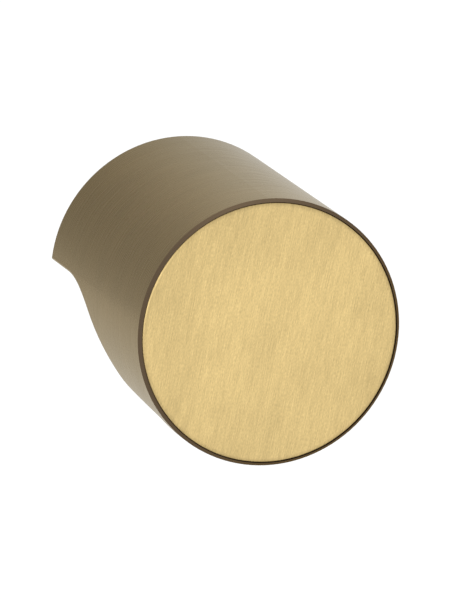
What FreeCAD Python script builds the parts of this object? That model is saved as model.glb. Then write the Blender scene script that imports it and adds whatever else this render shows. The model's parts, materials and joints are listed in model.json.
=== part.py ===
import FreeCAD, Part
import math
import os

# Cabinet knob: a short round bar with its axis level, fixed to a door or drawer front.
# The lower back of the bar is scooped away for the fingers, which leaves a half-moon
# neck against the wood and a full round head with a brass disc let into its front.
# Frame: millimetres, +Z up. The wood lies in the plane Y = 0 and the knob stands out
# from it towards -Y. The origin is the centre of the mouth of the fixing hole.

# Driving dimensions
HEAD_DIAMETER = 30.0
PROJECTION = 35.0

# Front of the head
RIM_BEVEL_WIDTH = 0.33
RIM_BEVEL_DEPTH = 0.42
RIM_LAND = 0.04
DISC_SEAM = 0.03
DISC_THICKNESS = 1.2
DISC_EDGE_RADIUS = 0.2

# Finger scoop, a side profile that runs straight across the knob
SHELF_HEIGHT = 1.75
SHELF_DEPTH = 6.5
NECK_RADIUS = 14.0
FLANK_ANGLE = 38.5
FLANK_LENGTH = 8.6
BELLY_RADIUS = 6.0
BELLY_ANGLE = 12.0
LIP_THICKNESS = 2.8
LIP_FILLET = 1.0
SCOOP_EDGE_RADIUS = 0.3

# Back land and fixing hole, tapped M4
BACK_EDGE_BREAK = 0.25
HOLE_RISE = 7.5
HOLE_RADIUS = 1.65
HOLE_DEPTH = 12.0
DRILL_POINT_ANGLE = 118.0

# Overlap of a cutting tool past the faces that it cuts, and how near counts as touching
CLEAR = 2.0
TOUCH = 0.01

HEAD_RADIUS = HEAD_DIAMETER / 2
FRONT_Y = -PROJECTION
AXIS_Z = -HOLE_RISE
ALONG_Y = FreeCAD.Vector(0, 1, 0)
ALONG_X = FreeCAD.Vector(1, 0, 0)


def axis_point(y):
    """A point on the knob's own centre line."""
    return FreeCAD.Vector(0, y, AXIS_Z)


def side_point(behind_front, height):
    """A point of the side profile, given from the front plane and the centre line."""
    return FreeCAD.Vector(0, FRONT_Y + behind_front, AXIS_Z + height)


def turned(outline, centre_z):
    """Revolve an outline of (radius, y) points about a line along Y at centre_z."""
    points = [FreeCAD.Vector(0, y, centre_z + radius) for radius, y in outline]
    face = Part.Face(Part.makePolygon(points + points[:1]))
    return face.revolve(FreeCAD.Vector(0, 0, centre_z), ALONG_Y, 360)


def bar():
    """The round bar with its bevelled front rim and the broken edge at the back."""
    return turned([
        (0, FRONT_Y),
        (HEAD_RADIUS - RIM_BEVEL_WIDTH, FRONT_Y),
        (HEAD_RADIUS, FRONT_Y + RIM_BEVEL_DEPTH),
        (HEAD_RADIUS, -BACK_EDGE_BREAK),
        (HEAD_RADIUS - BACK_EDGE_BREAK, 0),
        (0, 0),
    ], AXIS_Z)


def bend(start, heading, radius, turn):
    """An arc in the side profile from start, heading in degrees below the way to the front.

    A positive turn steepens the profile downwards, a negative one levels it out.
    It gives the arc's edge and its end point.
    """
    side = 1 if turn > 0 else -1

    def place(angle):
        level = math.radians(angle)
        return FreeCAD.Vector(0, -math.sin(level), math.cos(level)) * (radius * side)

    centre = start - place(heading)
    middle = centre + place(heading + turn / 2)
    end = centre + place(heading + turn)
    return Part.Arc(start, middle, end).toShape(), end


def downhill(start, angle, length):
    """The end of a straight run that leads down towards the front at an angle."""
    slope = math.radians(angle)
    return start - FreeCAD.Vector(0, math.cos(slope), math.sin(slope)) * length


def scoop():
    """What is cut away below the knob: shelf, hollow, flank, belly and the back of the lip."""
    low = -HEAD_RADIUS - CLEAR
    behind_wood = side_point(PROJECTION + CLEAR, SHELF_HEIGHT + BACK_EDGE_BREAK)
    land_edge = side_point(PROJECTION, SHELF_HEIGHT + BACK_EDGE_BREAK)
    shelf_start = side_point(PROJECTION - BACK_EDGE_BREAK, SHELF_HEIGHT)
    shelf_end = side_point(PROJECTION - SHELF_DEPTH, SHELF_HEIGHT)
    hollow, flank_start = bend(shelf_end, 0, NECK_RADIUS, FLANK_ANGLE)
    flank_end = downhill(flank_start, FLANK_ANGLE, FLANK_LENGTH)
    belly, belly_end = bend(flank_end, FLANK_ANGLE, BELLY_RADIUS, BELLY_ANGLE - FLANK_ANGLE)
    root_y = FRONT_Y + LIP_THICKNESS + LIP_FILLET * (1 - math.sin(math.radians(BELLY_ANGLE)))
    level_run = (belly_end.y - root_y) / math.cos(math.radians(BELLY_ANGLE))
    root_start = downhill(belly_end, BELLY_ANGLE, level_run)
    root, lip_start = bend(root_start, BELLY_ANGLE, LIP_FILLET, 90 - BELLY_ANGLE)
    lip_end = side_point(LIP_THICKNESS, low)
    corner = side_point(PROJECTION + CLEAR, low)
    outline = Part.Wire([
        Part.makeLine(behind_wood, land_edge),
        Part.makeLine(land_edge, shelf_start),
        Part.makeLine(shelf_start, shelf_end),
        hollow,
        Part.makeLine(flank_start, flank_end),
        belly,
        Part.makeLine(belly_end, root_start),
        root,
        Part.makeLine(lip_start, lip_end),
        Part.makeLine(lip_end, corner),
        Part.makeLine(corner, behind_wood),
    ])
    reach = HEAD_RADIUS + CLEAR
    profile = Part.Face(outline)
    profile.translate(ALONG_X * -reach)
    return profile.extrude(ALONG_X * (2 * reach))


def disc_radius():
    return HEAD_RADIUS - RIM_BEVEL_WIDTH - RIM_LAND - DISC_SEAM


def disc_recess():
    """The flat round pocket in the front that the brass disc is pressed into."""
    start = axis_point(FRONT_Y - CLEAR)
    return Part.makeCylinder(disc_radius() + DISC_SEAM, CLEAR + DISC_THICKNESS, start, ALONG_Y)


def fixing_hole():
    """The blind tapped hole for the screw through the door."""
    point_depth = HOLE_RADIUS / math.tan(math.radians(DRILL_POINT_ANGLE / 2))
    return turned([
        (0, CLEAR),
        (HOLE_RADIUS, CLEAR),
        (HOLE_RADIUS, -HOLE_DEPTH),
        (0, -HOLE_DEPTH - point_depth),
    ], 0)


def borders_scoop(edge):
    """Whether an edge is one where the scoop breaks out through the round side of the bar."""
    if edge.Degenerated:
        return False
    for point in edge.discretize(5):
        radius = math.hypot(point.x, point.z - AXIS_Z)
        if abs(radius - HEAD_RADIUS) > TOUCH:
            return False
        if not FRONT_Y + LIP_THICKNESS - TOUCH < point.y < TOUCH - BACK_EDGE_BREAK:
            return False
        if point.z > AXIS_Z + SHELF_HEIGHT + TOUCH:
            return False
    return True


def body():
    """The bronze-finished knob itself, one solid turned and milled from bar."""
    scooped = bar().cut(scoop())
    rim = [edge for edge in scooped.Edges if borders_scoop(edge)]
    softened = scooped.makeFillet(SCOOP_EDGE_RADIUS, rim)
    return softened.cut(disc_recess()).cut(fixing_hole())


def face_disc():
    """The brass disc, flush with the rim of the head."""
    disc = Part.makeCylinder(disc_radius(), DISC_THICKNESS, axis_point(FRONT_Y), ALONG_Y)
    front_edges = [edge for edge in disc.Edges if abs(edge.BoundBox.YMax - FRONT_Y) < TOUCH]
    return disc.makeFillet(DISC_EDGE_RADIUS, front_edges)


SUBPARTS = {"body": body, "face_disc": face_disc}

os.makedirs("parts", exist_ok=True)
for node_name, make in SUBPARTS.items():
    shape = make()
    solid = shape.Solids[0]
    print(node_name, "solids", len(shape.Solids), "valid", shape.isValid(), "volume", round(shape.Volume, 1))
    solid.exportStep("parts/" + node_name + ".step")
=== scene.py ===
import bmesh
import bpy
import json
import math
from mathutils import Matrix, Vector


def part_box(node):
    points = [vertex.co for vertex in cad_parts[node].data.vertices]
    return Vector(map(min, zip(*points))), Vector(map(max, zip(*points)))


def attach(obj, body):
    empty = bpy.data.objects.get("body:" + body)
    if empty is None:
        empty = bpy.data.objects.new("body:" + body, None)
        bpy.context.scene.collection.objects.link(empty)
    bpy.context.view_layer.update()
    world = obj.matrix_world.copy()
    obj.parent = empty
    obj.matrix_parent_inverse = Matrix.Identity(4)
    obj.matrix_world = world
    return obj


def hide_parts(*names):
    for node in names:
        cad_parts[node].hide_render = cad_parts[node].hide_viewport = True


# Cabinet knob: the solids are the frame's own. This script gives the bar its brushed
# bronze, turns the brass disc more finely, adds the thread in the fixing hole, and sets up
# a plain pale studio with the photograph's camera. All lengths are in metres.

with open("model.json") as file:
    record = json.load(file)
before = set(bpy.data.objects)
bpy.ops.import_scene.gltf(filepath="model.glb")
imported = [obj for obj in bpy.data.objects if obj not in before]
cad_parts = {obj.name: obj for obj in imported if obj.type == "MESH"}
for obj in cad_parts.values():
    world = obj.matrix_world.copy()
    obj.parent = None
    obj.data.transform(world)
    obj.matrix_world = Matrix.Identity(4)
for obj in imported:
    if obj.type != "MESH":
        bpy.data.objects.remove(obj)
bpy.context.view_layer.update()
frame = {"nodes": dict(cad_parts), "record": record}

MM = 0.001

# The round head, read from the frame: its radius, centre line and front plane
head_low, head_high = (Vector(corner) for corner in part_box("body"))
HEAD_RADIUS = (head_high.x - head_low.x) / 2
AXIS_Z = head_high.z - HEAD_RADIUS
FRONT_Y = head_low.y

# The brass disc: its radius and thickness from the frame, and its softly rolled front edge
disc_low, disc_high = (Vector(corner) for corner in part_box("face_disc"))
DISC_RADIUS = (disc_high.x - disc_low.x) / 2
DISC_THICKNESS = disc_high.y - disc_low.y
DISC_EDGE_WIDTH = 0.5 * MM
DISC_EDGE_DEPTH = 0.2 * MM
DISC_EDGE_STEPS = 12
DISC_SIDES = 360

# The fixing hole, read from the record, and the M4 thread in it. The thread's foot is sunk
# a little into the wall of the hole.
mounts = {mount["name"]: mount for mount in frame["record"]["mounts"]}
HOLE_RADIUS = mounts["fixing_hole"]["dims"]["r_mm"] * MM
HOLE_DEPTH = mounts["fixing_hole"]["dims"]["length_mm"] * MM
THREAD_PITCH = 0.7 * MM
THREAD_HEIGHT = 0.14 * MM
THREAD_SUNK = 0.04 * MM
THREAD_CREST = 0.09 * MM
THREAD_START = 0.5 * MM
THREAD_STEPS = 40

# A fold sharper than this, in degrees, stays a sharp edge
SHARP_ANGLE = 30

# Camera: a long lens, to the left of the knob and above it. The angles are in degrees,
# distance and aim in head radii, the focal length in pixels of the picture.
CAMERA_AZIMUTH = 16.87
CAMERA_ELEVATION = 12.76
CAMERA_DISTANCE = 87.71
AIM_RIGHT = -0.3286
AIM_UP = 0.2407
FOCAL_PX = 12000.0
PICTURE_LONG_SIDE_PX = 600.0
SENSOR_MM = 36.0

# The nearest and the farthest that the camera sees
CLIP_NEAR = 0.01
CLIP_FAR = 100

# Bronze: its colour seen square on and its tint at a grazing angle, for the bar and for the
# bevel that reaches BEVEL_DEPTH back from the front, whose darker, browner colour is painted
# shade for the dark surroundings it reflects, and the painted shade that both fall to at the
# top by the wood. A change is how far a noise moves a colour or the roughness, up and down.
BRONZE_FACING = (0.157, 0.101, 0.037)
BRONZE_GRAZING = (1.0, 0.96, 0.83)
BEVEL_SHADED_FACING = (0.112, 0.079, 0.049)
BEVEL_SHADED_GRAZING = (0.52, 0.46, 0.38)
BEVEL_DEPTH = 0.43 * MM
BACK_TOP_SHADE = 0.86
BRONZE_ROUGHNESS = 0.27
BRONZE_ROUGHNESS_CHANGE = 0.03
BRONZE_GRAIN_WIDTH = 0.18 * MM
BRONZE_GRAIN_LENGTH = 5.0 * MM
BRONZE_GRAIN_CHANGE = 0.04
BRONZE_CLOUD_SIZE = (6 * MM, 3 * MM, 6 * MM)
BRONZE_CLOUD_CHANGE = 0.045
BRONZE_BUMP = 0.13

# Where the bronze counts as the bar's round side and as the land on the wood, for the
# direction of its brush marks
SIDE_RADIUS = 0.975 * HEAD_RADIUS
LAND_Y = -0.02 * MM

# Brass disc: straight brush marks that lean a little to the right of upright, short specks
# between them, broad faint streaks and clouds, and a tone that falls a little from the
# middle to the rim and more at the very edge, where the darker band is painted shade
BRASS_FACING = (0.706, 0.529, 0.234)
BRASS_RIM_START = 0.45 * DISC_RADIUS
BRASS_RIM_TONE = 0.95
BRASS_EDGE_START = DISC_RADIUS - 0.6 * MM
BRASS_EDGE_SHADE = 0.72
BRASS_ROUGHNESS = 0.30
BRASS_ROUGHNESS_CHANGE = 0.04
BRASS_GRAIN_LEAN = 12.5
BRASS_GRAIN_WIDTH = 0.12 * MM
BRASS_GRAIN_LENGTH = 2.0 * MM
BRASS_SPECK_LENGTH = 0.3 * MM
BRASS_GRAIN_CHANGE = 0.14
BRASS_STREAK_SIZE = (0.9 * MM, 7 * MM)
BRASS_STREAK_CHANGE = 0.05
BRASS_CLOUD_SIZE = (6 * MM, 9 * MM)
BRASS_CLOUD_CHANGE = 0.055
BRASS_BUMP = 0.3

# The height of a bump at full strength, and the range that most of a noise lies in
BUMP_HEIGHT = 0.01 * MM
NOISE_LOW = 0.25
NOISE_HIGH = 0.75

# A size so large that a noise doesn't change along it on an object as small as this
ENDLESS = 1.0

# Studio: white from all round, dimmer from behind the knob on the left, brighter from in
# front of it on the left, and a little brighter from above. Each such side has a direction,
# the change of brightness there, and its reach as a distance between unit directions.
WORLD_STRENGTH = 1.05
DIM_SIDE = Vector((-0.51, 0.82, 0.25)).normalized()
DIM_CHANGE = -0.38
DIM_REACH = 0.84
BRIGHT_SIDE = Vector((-0.60, -0.80, 0.02)).normalized()
BRIGHT_CHANGE = 1.50
BRIGHT_REACH = 0.72
TOP_SIDE = Vector((0, 0, 1))
TOP_CHANGE = 0.45
TOP_REACH = 1.05

# A pale floor below the picture: how far it lies under the knob's centre line, how far it
# reaches to each side, and the glow that brings it up to white in the picture
FLOOR_DROP = 90 * MM
FLOOR_REACH = 0.65
FLOOR_COLOUR = (0.75, 0.75, 0.75)
FLOOR_GLOW = 0.18

WHITE = (1, 1, 1)


class Shader:
    """A node tree with short forms for adding and joining its nodes."""

    def __init__(self, tree):
        self.tree = tree

    def join(self, value, entry):
        self.tree.links.new(value, entry)

    def add(self, kind, settings=None, **inputs):
        """Add a node. An input has its own name or i and its number. It is given a plain
        value, or another node's output to join.
        """
        made = self.tree.nodes.new(kind)
        for name, value in (settings or {}).items():
            setattr(made, name, value)
        for name, value in inputs.items():
            key = int(name[1:]) if name[1:].isdigit() else name.replace("_", " ")
            if isinstance(value, bpy.types.NodeSocket):
                self.join(value, made.inputs[key])
            else:
                made.inputs[key].default_value = value
        return made

    def maths(self, operation, *terms):
        values = {"i%d" % place: term for place, term in enumerate(terms)}
        return self.add("ShaderNodeMath", {"operation": operation}, **values).outputs[0]

    def distance(self, place, other=(0, 0, 0)):
        """How far a place is from another one."""
        settings = {"operation": "DISTANCE"}
        return self.add("ShaderNodeVectorMath", settings, i0=place, i1=other).outputs["Value"]

    def mix(self, factor, first, second):
        """The first number where the factor is 0, and the second where it is 1."""
        return self.add("ShaderNodeMix", None, i0=factor, i2=first, i3=second).outputs[0]

    def mix_colour(self, factor, first, second):
        """The first colour where the factor is 0, and the second where it is 1."""
        mixed = self.add("ShaderNodeMix", {"data_type": "RGBA"}, i0=factor,
                         i6=(*first, 1), i7=(*second, 1))
        return mixed.outputs[2]

    def ramp(self, value, start, end, low, high, curve="LINEAR"):
        """Map a value from start to end onto low to high, and hold it beyond them."""
        mapped = self.add("ShaderNodeMapRange", {"interpolation_type": curve}, Value=value,
                          From_Min=start, From_Max=end, To_Min=low, To_Max=high)
        return mapped.outputs["Result"]

    def noise(self, place, size, turn=(0, 0, 0), detail=2.0):
        """Noise whose marks have the given size along each axis, turned by the given angles."""
        mapping = self.add("ShaderNodeMapping", {"vector_type": "TEXTURE"}, Vector=place,
                           Rotation=turn, Scale=size)
        made = self.add("ShaderNodeTexNoise", None, Vector=mapping.outputs[0], Scale=1.0,
                        Detail=detail)
        return made.outputs["Fac"]

    def varied(self, noise, middle, change):
        """A number that a noise moves up and down from its middle value."""
        return self.ramp(noise, NOISE_LOW, NOISE_HIGH, middle - change, middle + change)

    def toned(self, colour, *factors):
        """A colour times some factors near 1."""
        product = factors[0]
        for factor in factors[1:]:
            product = self.maths("MULTIPLY", product, factor)
        settings = {"operation": "SCALE"}
        return self.add("ShaderNodeVectorMath", settings, i0=colour, Scale=product).outputs[0]

    def head_places(self):
        """A point's place, its Y, its height over the head's centre line and its radius."""
        place = self.add("ShaderNodeTexCoord").outputs["Object"]
        parts = self.add("ShaderNodeSeparateXYZ", None, Vector=place).outputs
        height = self.maths("SUBTRACT", parts["Z"], AXIS_Z)
        off_axis = self.add("ShaderNodeCombineXYZ", None, X=parts["X"], Z=height).outputs[0]
        return place, parts["Y"], height, self.distance(off_axis)

    def brush(self, metal, grain, roughness, change, bump):
        """Give a metal the roughness and the fine relief of its brush marks."""
        self.join(self.varied(grain, roughness, -change), metal.inputs["Roughness"])
        relief = self.add("ShaderNodeBump", None, Strength=bump, Distance=BUMP_HEIGHT,
                          Height=grain)
        self.join(relief.outputs[0], metal.inputs["Normal"])


def new_metal(name, grazing_tint, roughness):
    """A metal material and its shader, with plain values for all that isn't joined later."""
    material = bpy.data.materials.new(name)
    material.use_nodes = True
    metal = material.node_tree.nodes["Principled BSDF"]
    metal.inputs["Metallic"].default_value = 1.0
    metal.inputs["Roughness"].default_value = roughness
    metal.inputs["Specular Tint"].default_value = (*grazing_tint, 1)
    return material, Shader(material.node_tree), metal


def dress(piece, material):
    """Give a solid's every material slot the one material."""
    for place in range(len(piece.data.materials)):
        piece.data.materials[place] = material


def bronze():
    """Dark bronze, brushed round the bar, across the scoop and in rings on the back land."""
    material, shader, metal = new_metal("dark_bronze_brushed", BRONZE_GRAZING, BRONZE_ROUGHNESS)
    place, along, height, radius = shader.head_places()

    long, fine = BRONZE_GRAIN_LENGTH, BRONZE_GRAIN_WIDTH
    round_bar = shader.noise(place, (long, fine, long))
    across = shader.noise(place, (long, fine, fine))
    ring_place = shader.add("ShaderNodeCombineXYZ", None, X=radius).outputs[0]
    rings = shader.noise(ring_place, (fine, fine, fine))
    grain = shader.mix(shader.maths("GREATER_THAN", radius, SIDE_RADIUS), across, round_bar)
    grain = shader.mix(shader.maths("GREATER_THAN", along, LAND_Y), grain, rings)
    cloud = shader.noise(place, BRONZE_CLOUD_SIZE, detail=1.0)

    # Painted shade: the bevel gets a darker, browner colour and a lower grazing tint, standing
    # in for the dark surroundings it reflects.
    on_bevel = shader.maths("LESS_THAN", along, FRONT_Y + BEVEL_DEPTH)
    facing = shader.mix_colour(on_bevel, BRONZE_FACING, BEVEL_SHADED_FACING)
    grazing = shader.mix_colour(on_bevel, BRONZE_GRAZING, BEVEL_SHADED_GRAZING)
    # Painted shade: the bronze's colour and grazing tint fall to a darker tone at the back near
    # the top, standing in for dimmer light there.
    to_back = shader.ramp(along, FRONT_Y, 0.0, 0.0, 1.0)
    to_top = shader.ramp(height, 0.0, HEAD_RADIUS, 0.0, 1.0)
    to_back_top = shader.maths("MULTIPLY", to_back, to_top)
    painted_back_shade = shader.maths("MULTIPLY_ADD", to_back_top, BACK_TOP_SHADE - 1, 1.0)
    marks = shader.varied(grain, 1.0, BRONZE_GRAIN_CHANGE)
    clouds = shader.varied(cloud, 1.0, BRONZE_CLOUD_CHANGE)
    shader.join(shader.toned(facing, marks, clouds, painted_back_shade), metal.inputs["Base Color"])
    shader.join(shader.toned(grazing, painted_back_shade), metal.inputs["Specular Tint"])
    shader.brush(metal, grain, BRONZE_ROUGHNESS, BRONZE_ROUGHNESS_CHANGE, BRONZE_BUMP)
    return material


def brass():
    """Satin brass with straight brush marks, a little darker towards its rim, with painted
    shade at the very edge.
    """
    material, shader, metal = new_metal("satin_brass_brushed", WHITE, BRASS_ROUGHNESS)
    place, _, _, radius = shader.head_places()

    def upright_noise(width, length, detail):
        lean = (0, math.radians(BRASS_GRAIN_LEAN), 0)
        return shader.noise(place, (width, ENDLESS, length), lean, detail)

    grain = upright_noise(BRASS_GRAIN_WIDTH, BRASS_GRAIN_LENGTH, 3.0)
    specks = upright_noise(BRASS_GRAIN_WIDTH, BRASS_SPECK_LENGTH, 2.0)
    streaks = upright_noise(*BRASS_STREAK_SIZE, 1.0)
    clouds = upright_noise(*BRASS_CLOUD_SIZE, 1.0)
    colour = shader.toned(
        BRASS_FACING,
        shader.varied(grain, 1.0, BRASS_GRAIN_CHANGE),
        shader.varied(specks, 1.0, BRASS_GRAIN_CHANGE),
        shader.varied(streaks, 1.0, BRASS_STREAK_CHANGE),
        shader.varied(clouds, 1.0, BRASS_CLOUD_CHANGE),
        shader.ramp(radius, BRASS_RIM_START, DISC_RADIUS, 1.0, BRASS_RIM_TONE, "SMOOTHSTEP"),
        # Painted shade: a darker band at the rolled edge, standing in for the darker
        # surroundings it reflects.
        shader.ramp(radius, BRASS_EDGE_START, DISC_RADIUS, 1.0, BRASS_EDGE_SHADE, "SMOOTHSTEP"),
    )
    shader.join(colour, metal.inputs["Base Color"])
    shader.brush(metal, grain, BRASS_ROUGHNESS, BRASS_ROUGHNESS_CHANGE, BRASS_BUMP)
    return material


def new_piece(name, rings, material):
    """Skin rings of points into a closed piece that rides with the knob.

    It has a face over each end, and is smooth but for its sharp corners.
    """
    mesh = bmesh.new()
    loops = [[mesh.verts.new(point) for point in ring] for ring in rings]
    for first, second in zip(loops, loops[1:]):
        for side in range(len(first)):
            after = (side + 1) % len(first)
            mesh.faces.new((first[side], first[after], second[after], second[side]))
    mesh.faces.new(loops[0])
    mesh.faces.new(loops[-1])
    bmesh.ops.recalc_face_normals(mesh, faces=mesh.faces)
    data = bpy.data.meshes.new(name)
    mesh.to_mesh(data)
    mesh.free()
    data.shade_smooth()
    data.set_sharp_from_angle(angle=math.radians(SHARP_ANGLE))
    data.materials.append(material)
    piece = bpy.data.objects.new(name, data)
    bpy.context.scene.collection.objects.link(piece)
    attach(piece, "root")
    return piece


def make_disc(material):
    """The brass disc, finely turned, because the seam round it shows every facet.

    Its outline runs from a ring on the flat front over the rolled edge to the back.
    """
    edge_start = DISC_RADIUS - DISC_EDGE_WIDTH
    outline = [(edge_start - DISC_EDGE_WIDTH, 0.0)]
    for step in range(DISC_EDGE_STEPS + 1):
        angle = math.pi / 2 * step / DISC_EDGE_STEPS
        reach = edge_start + DISC_EDGE_WIDTH * math.sin(angle)
        outline.append((reach, DISC_EDGE_DEPTH * (1 - math.cos(angle))))
    outline.append((DISC_RADIUS, DISC_THICKNESS))
    turns = [math.tau * side / DISC_SIDES for side in range(DISC_SIDES)]
    rings = []
    for reach, behind in outline:
        rings.append([
            (reach * math.cos(turn), FRONT_Y + behind, AXIS_Z + reach * math.sin(turn))
            for turn in turns
        ])
    disc = new_piece("brass_disc", rings, material)
    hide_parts("face_disc")


def make_thread(material):
    """The ridge of the tapped thread, a helix that stands in from the wall of the hole."""
    turns = (HOLE_DEPTH - 2 * THREAD_START) / THREAD_PITCH
    foot = (THREAD_PITCH - THREAD_CREST) / 2
    section = [
        (HOLE_RADIUS + THREAD_SUNK, -foot),
        (HOLE_RADIUS - THREAD_HEIGHT, -THREAD_CREST / 2),
        (HOLE_RADIUS - THREAD_HEIGHT, THREAD_CREST / 2),
        (HOLE_RADIUS + THREAD_SUNK, foot),
    ]
    rings = []
    for step in range(int(turns * THREAD_STEPS) + 1):
        angle = math.tau * step / THREAD_STEPS
        along = -THREAD_START - THREAD_PITCH * step / THREAD_STEPS
        rings.append([
            (reach * math.cos(angle), along + shift, reach * math.sin(angle))
            for reach, shift in section
        ])
    new_piece("fixing_thread", rings, material)


def make_camera():
    """The photograph's camera, which looks at the front of the head from the left and above."""
    azimuth = math.radians(CAMERA_AZIMUTH)
    elevation = math.radians(CAMERA_ELEVATION)
    forward = Vector((math.sin(azimuth) * math.cos(elevation),
                      math.cos(azimuth) * math.cos(elevation),
                      -math.sin(elevation)))
    right = Vector((math.cos(azimuth), -math.sin(azimuth), 0))
    up = right.cross(forward)
    head = Vector((0, FRONT_Y, AXIS_Z))
    aim = head + (right * AIM_RIGHT + up * AIM_UP) * HEAD_RADIUS
    data = bpy.data.cameras.new("camera")
    data.sensor_fit = "AUTO"
    data.sensor_width = SENSOR_MM
    data.lens = FOCAL_PX * SENSOR_MM / PICTURE_LONG_SIDE_PX
    data.clip_start = CLIP_NEAR
    data.clip_end = CLIP_FAR
    camera = bpy.data.objects.new("camera", data)
    bpy.context.scene.collection.objects.link(camera)
    camera.location = aim - forward * (CAMERA_DISTANCE * HEAD_RADIUS)
    camera.rotation_euler = forward.to_track_quat("-Z", "Y").to_euler()
    bpy.context.scene.camera = camera


def make_world():
    """White light from all round with its dim and bright sides. The camera sees plain white."""
    world = bpy.data.worlds.new("studio")
    world.use_nodes = True
    shader = Shader(world.node_tree)
    direction = shader.add("ShaderNodeTexCoord").outputs["Generated"]
    sides = (
        (DIM_SIDE, DIM_CHANGE, DIM_REACH),
        (BRIGHT_SIDE, BRIGHT_CHANGE, BRIGHT_REACH),
        (TOP_SIDE, TOP_CHANGE, TOP_REACH),
    )
    light = WORLD_STRENGTH
    for side, change, reach in sides:
        away = shader.distance(direction, side)
        factor = shader.ramp(away, 0.0, reach, 1 + change, 1.0, "SMOOTHERSTEP")
        light = shader.maths("MULTIPLY", factor, light)
    camera_ray = shader.add("ShaderNodeLightPath").outputs["Is Camera Ray"]
    background = world.node_tree.nodes["Background"]
    background.inputs["Color"].default_value = (*WHITE, 1)
    shader.join(shader.mix(camera_ray, light, 1.0), background.inputs["Strength"])
    bpy.context.scene.world = world


def floor_finish():
    """Pale and matt, with a glow for the camera and for reflections. It is clear from below."""
    material = bpy.data.materials.new("floor_pale")
    material.use_nodes = True
    shader = Shader(material.node_tree)
    matt = material.node_tree.nodes["Principled BSDF"]
    matt.inputs["Base Color"].default_value = (*FLOOR_COLOUR, 1)
    matt.inputs["Roughness"].default_value = 1.0
    matt.inputs["Specular IOR Level"].default_value = 0.0
    matt.inputs["Emission Color"].default_value = (*WHITE, 1)
    rays = shader.add("ShaderNodeLightPath").outputs
    seen = shader.maths("MAXIMUM", rays["Is Camera Ray"], rays["Is Glossy Ray"])
    seen = shader.maths("MAXIMUM", seen, rays["Is Transmission Ray"])
    shader.join(shader.maths("MULTIPLY", seen, FLOOR_GLOW), matt.inputs["Emission Strength"])
    from_below = shader.add("ShaderNodeNewGeometry").outputs["Backfacing"]
    shader.join(shader.maths("SUBTRACT", 1.0, from_below), matt.inputs["Alpha"])
    return material


def make_floor():
    """A floor that shows white, apart from the shadow on it."""
    data = bpy.data.meshes.new("floor")
    level = AXIS_Z - FLOOR_DROP
    signs = ((-1, -1), (1, -1), (1, 1), (-1, 1))
    corners = [(x * FLOOR_REACH, y * FLOOR_REACH, level) for x, y in signs]
    data.from_pydata(corners, [], [(0, 1, 2, 3)])
    data.materials.append(floor_finish())
    floor = bpy.data.objects.new("floor", data)
    bpy.context.scene.collection.objects.link(floor)


bronze_finish = bronze()
dress(frame["nodes"]["body"], bronze_finish)
make_disc(brass())
make_thread(bronze_finish)
make_camera()
make_world()
make_floor()
bpy.context.scene.view_settings.view_transform = "Standard"
